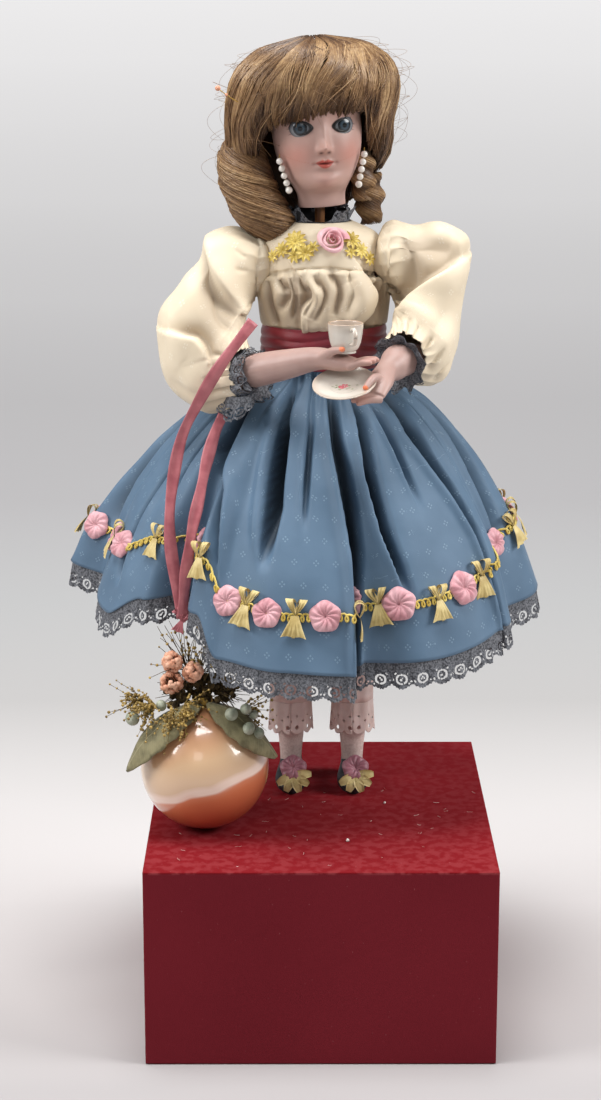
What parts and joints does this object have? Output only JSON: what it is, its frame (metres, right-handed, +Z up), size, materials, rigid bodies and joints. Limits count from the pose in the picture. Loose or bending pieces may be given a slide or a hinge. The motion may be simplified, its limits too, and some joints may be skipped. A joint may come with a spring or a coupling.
{
  "type": "automaton doll",
  "caption": "Lady doll automaton on a velvet box: lifts a cup and saucer, turns and nods her head, driven by a spring music movement with cams",
  "frame": {"origin": "centre of the box's underside", "axes": "+Z up through the figure, the doll faces -Y, her right side is the -X side"},
  "size_m": [0.2948, 0.2648, 0.578],
  "materials": {
    "velvet": "crimson cotton velvet with a short pile",
    "wood": "plain unvarnished wood",
    "cast_iron": "dark grey casting",
    "steel": "turned and brushed",
    "brass": "lightly tarnished",
    "composition": "painted composition",
    "bisque": "matte tinted bisque",
    "stocking": "cotton stocking drawn over a composition leg",
    "shoe": "soft black leather",
    "stem": "waxed wood",
    "glass_eye": "blown glass, grey-blue iris",
    "hair": "combed mohair",
    "pearl": "pearl lustre",
    "china": "glazed white china",
    "satin": "cream satin with small woven dots",
    "sash": "burgundy satin",
    "dress": "dusty blue satin jacquard",
    "lace": "grey-black machine lace",
    "underlinen": "pale pink cotton with eyelet lace",
    "ribbon": "mauve pink satin ribbon",
    "ornament": "pearly peach lustre with pale swirls",
    "foliage": "dried seed heads, paper leaves and berries"
  },
  "bodies": {
    "base": {"box_carcass": "wood", "velvet_cover": "velvet", "base_board": "wood", "movement_bedplate": "cast_iron", "music_comb": "steel", "lever_bracket": "steel", "leg_right": "stocking", "leg_left": "stocking", "shoe_right": "shoe", "shoe_left": "shoe", "hip_block": "wood", "torso": "composition", "shoulder_plate": "composition", "shoulder_axle": "steel", "pantalette_right": "underlinen", "pantalette_left": "underlinen", "bodice": "satin", "sash": "sash", "skirt": "dress", "skirt_lace": "lace", "collar": "lace", "ornament_ball": "ornament", "ornament_cap": "brass", "ribbon": "ribbon", "ornament_spray": "foliage"},
    "barrel": {"spring_barrel": "brass"},
    "key": {"winding_key": "steel"},
    "cylinder": {"music_cylinder": "brass"},
    "fan": {"governor_fan": "brass"},
    "cams": {"cam_shaft": "steel", "right_arm_cam": "brass", "head_turn_cam": "brass", "left_arm_cam": "brass", "head_nod_cam": "brass"},
    "stop": {"stop_lever": "brass"},
    "neck": {"neck_block": "stem"},
    "head": {"head": "bisque", "wig": "hair", "eye_right": "glass_eye", "eye_left": "glass_eye", "earring_right": "pearl", "earring_left": "pearl"},
    "arm_right": {"upper_arm_right": "composition", "forearm_right": "bisque", "cuff_right": "lace", "cup": "china", "sleeve_right": "satin"},
    "arm_left": {"upper_arm_left": "composition", "forearm_left": "bisque", "cuff_left": "lace", "saucer": "china", "sleeve_left": "satin"},
    "right_arm_lever_body": {"right_arm_lever": "steel"},
    "right_arm_rod_body": {"right_arm_rod": "steel"},
    "head_turn_lever_body": {"head_turn_lever": "steel"},
    "head_turn_rod_body": {"head_turn_rod": "steel"},
    "left_arm_lever_body": {"left_arm_lever": "steel"},
    "left_arm_rod_body": {"left_arm_rod": "steel"},
    "head_nod_lever_body": {"head_nod_lever": "steel"},
    "head_nod_rod_body": {"head_nod_rod": "steel"}
  },
  "joints": [
    {"name": "barrel_turn", "type": "hinge", "parent": "base", "child": "barrel", "pos_m": [-0.05, 0.084, 0.054], "axis": [0, 1, 0], "continuous": true},
    {"name": "key_turn", "type": "hinge", "parent": "base", "child": "key", "pos_m": [-0.05, 0.12, 0.054], "axis": [0, 1, 0], "continuous": true},
    {"name": "cylinder_turn", "type": "hinge", "parent": "base", "child": "cylinder", "pos_m": [-0.01, 0.084, 0.054], "axis": [0, 1, 0], "continuous": true},
    {"name": "cam_shaft_turn", "type": "hinge", "parent": "base", "child": "cams", "pos_m": [0.0275, 0.084, 0.054], "axis": [0, 1, 0], "continuous": true},
    {"name": "fan_turn", "type": "hinge", "parent": "base", "child": "fan", "pos_m": [0.011, 0.008, 0.054], "axis": [0, 1, 0], "continuous": true},
    {"name": "stop_lever_swing", "type": "hinge", "parent": "base", "child": "stop", "pos_m": [0.012, 0.099, 0.04], "axis": [0, 0, 1], "range_deg": [0, 20]},
    {"name": "head_turn", "type": "hinge", "parent": "base", "child": "neck", "pos_m": [0, 0.045, 0.46], "axis": [0, 0, 1], "range_deg": [-33, 17]},
    {"name": "head_nod", "type": "hinge", "parent": "neck", "child": "head", "pos_m": [0, 0.045, 0.4967], "axis": [0.9879, 0.1388, 0.0698], "range_deg": [0, 10]},
    {"name": "arm_right_lift", "type": "hinge", "parent": "base", "child": "arm_right", "pos_m": [0.0013, 0.045, 0.4447], "axis": [-1, 0, 0], "range_deg": [0, 45], "deforming": ["sleeve_right", "ribbon"]},
    {"name": "arm_left_lift", "type": "hinge", "parent": "base", "child": "arm_left", "pos_m": [0.0013, 0.045, 0.4447], "axis": [-1, 0, 0], "range_deg": [0, 15.8], "deforming": ["sleeve_left"]},
    {"name": "right_arm_lever_swing", "type": "hinge", "parent": "base", "child": "right_arm_lever_body", "pos_m": [0.084, 0.045, 0.084], "axis": [0, 1, 0], "range_deg": [0, 7.05]},
    {"name": "right_arm_rod_slide", "type": "slide", "parent": "base", "child": "right_arm_rod_body", "axis": [0, 0, 1], "range_m": [0, 0.01269]},
    {"name": "head_turn_lever_swing", "type": "hinge", "parent": "base", "child": "head_turn_lever_body", "pos_m": [0.084, 0.045, 0.084], "axis": [0, 1, 0], "range_deg": [-4.05, 2.1]},
    {"name": "head_turn_rod_slide", "type": "slide", "parent": "base", "child": "head_turn_rod_body", "axis": [0, 0, 1], "range_m": [-0.007, 0.00363]},
    {"name": "left_arm_lever_swing", "type": "hinge", "parent": "base", "child": "left_arm_lever_body", "pos_m": [0.084, 0.045, 0.084], "axis": [0, 1, 0], "range_deg": [0, 7.05]},
    {"name": "left_arm_rod_slide", "type": "slide", "parent": "base", "child": "left_arm_rod_body", "axis": [0, 0, 1], "range_m": [0, 0.0075]},
    {"name": "head_nod_lever_swing", "type": "hinge", "parent": "base", "child": "head_nod_lever_body", "pos_m": [0.084, 0.045, 0.084], "axis": [0, 1, 0], "range_deg": [0, 3.4]},
    {"name": "head_nod_rod_slide", "type": "slide", "parent": "base", "child": "head_nod_rod_body", "axis": [0, 0, 1], "range_m": [0, 0.00383]}
  ],
  "couplings": [
    {"joint": "cylinder_turn", "follows": "barrel_turn", "ratio": -3},
    {"joint": "cam_shaft_turn", "follows": "barrel_turn", "ratio": 1.0909},
    {"joint": "fan_turn", "follows": "barrel_turn", "ratio": 7.5},
    {"joint": "arm_left_lift", "follows": "arm_right_lift", "ratio": 0.35},
    {"joint": "right_arm_lever_swing", "follows": "arm_right_lift", "ratio": 0.15556},
    {"joint": "right_arm_rod_slide", "follows": "arm_right_lift", "m_per_rad": 0.0161},
    {"joint": "head_turn_lever_swing", "follows": "head_turn", "ratio": 0.12121},
    {"joint": "head_turn_rod_slide", "follows": "head_turn", "m_per_rad": 0.012061},
    {"joint": "left_arm_lever_swing", "follows": "arm_right_lift", "ratio": 0.15556},
    {"joint": "left_arm_rod_slide", "follows": "arm_right_lift", "m_per_rad": 0.009489},
    {"joint": "head_nod_lever_swing", "follows": "head_nod", "ratio": 0.33333},
    {"joint": "head_nod_rod_slide", "follows": "head_nod", "m_per_rad": 0.021667}
  ]
}
